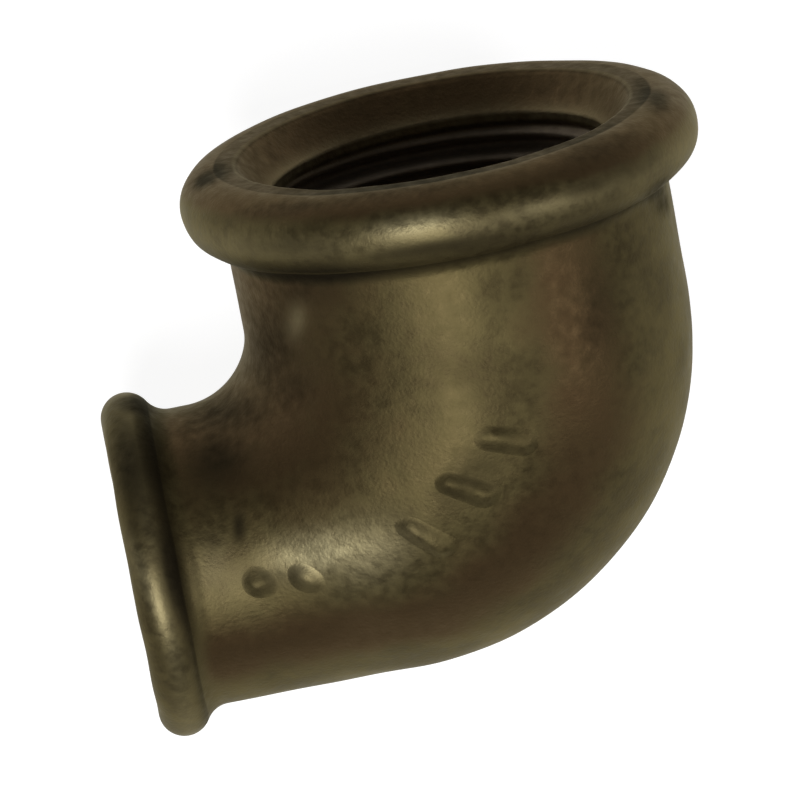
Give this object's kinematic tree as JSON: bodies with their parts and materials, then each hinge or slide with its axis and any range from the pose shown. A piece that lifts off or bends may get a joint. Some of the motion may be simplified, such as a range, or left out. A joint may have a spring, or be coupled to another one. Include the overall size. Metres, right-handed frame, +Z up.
{
  "type": "reducing elbow",
  "caption": "Iron pipe elbow that joins a large and a small threaded pipe at a right angle, with a rounded bead at each mouth and a tapering bend between them.",
  "frame": {"origin": "on the bench under the middle of the casting's box, as it lies at rest on its side", "axes": "+Z up from the bench, +X away from the small mouth and along the longest side of the box; seen from above the large socket opens along +Y and the small socket along -X"},
  "size_m": [0.0586, 0.0526, 0.0465],
  "materials": {
    "iron": "as-cast black malleable iron with an oily brown-green skin, worn bright on its edges"
  },
  "bodies": {
    "root": {"elbow": "iron"}
  },
  "joints": []
}
